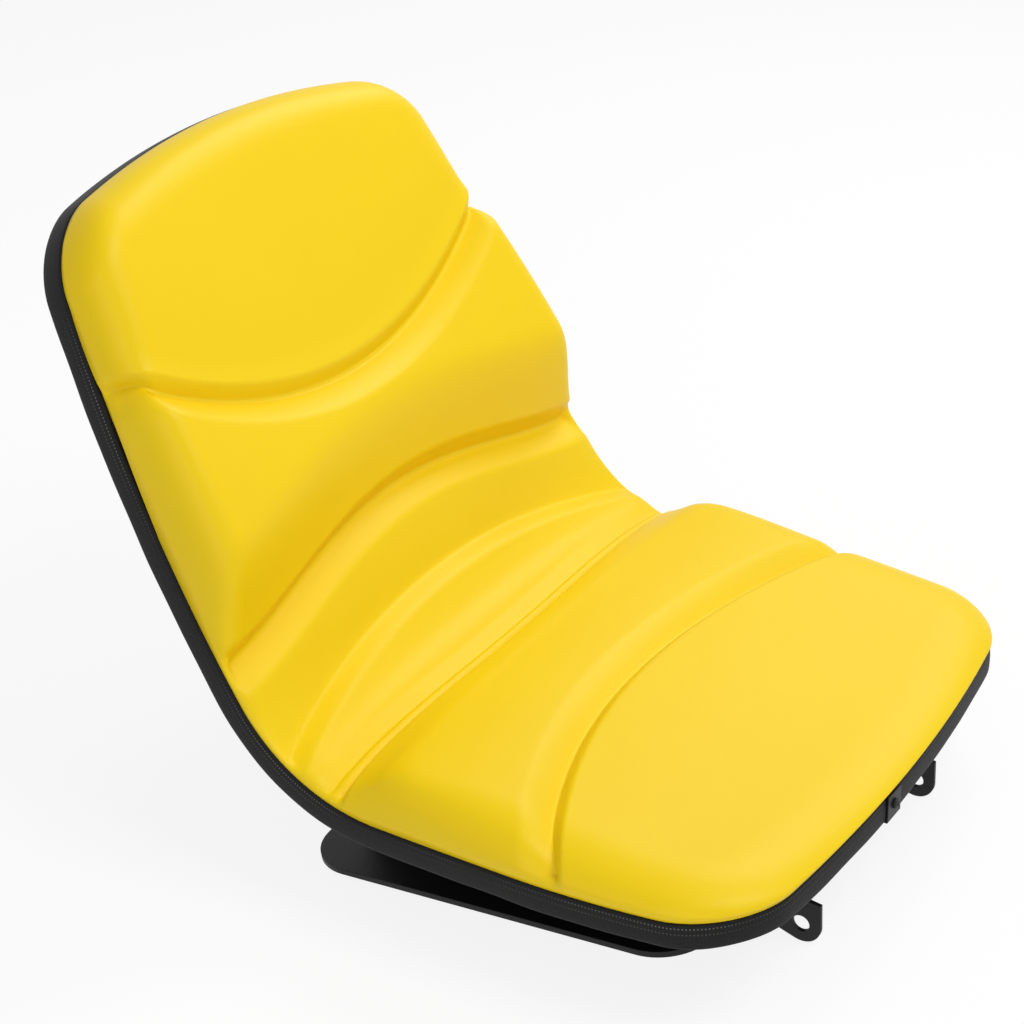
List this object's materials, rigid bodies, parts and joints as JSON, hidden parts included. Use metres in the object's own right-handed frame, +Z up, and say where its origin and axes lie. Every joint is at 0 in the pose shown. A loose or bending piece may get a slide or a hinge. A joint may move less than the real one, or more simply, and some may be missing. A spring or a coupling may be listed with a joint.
{
  "type": "tractor seat",
  "caption": "High-back tractor seat with a moulded yellow panelled cushion in a steel pan, black edging and a plate with two pivot ears.",
  "frame": {"origin": "middle of the pivot axis, half way between the two ears", "axes": "+X along the pivot axis to the sitter's left, -Y is where the seat faces, +Z up; it stands level on the ears and the plate's rear edge"},
  "size_m": [0.4742, 0.6114, 0.4892],
  "materials": {
    "cushion_vinyl": "satin grained vinyl",
    "pan_paint": "satin black",
    "edging_vinyl": "grained matt",
    "bracket_paint": "satin black",
    "fastener_black": "black oxide",
    "fastener_zinc": "zinc plated"
  },
  "bodies": {
    "root": {"seat_cushion": "cushion_vinyl", "seat_pan": "pan_paint", "edge_trim": "edging_vinyl", "trim_clip": "bracket_paint", "clip_screw": "fastener_black", "mounting_plate": "bracket_paint", "pivot_lug_left": "bracket_paint", "pivot_lug_right": "bracket_paint", "mounting_bolts": "fastener_zinc", "lock_washers": "fastener_zinc", "flat_washers": "fastener_zinc", "weld_nuts": "fastener_zinc"}
  },
  "joints": []
}
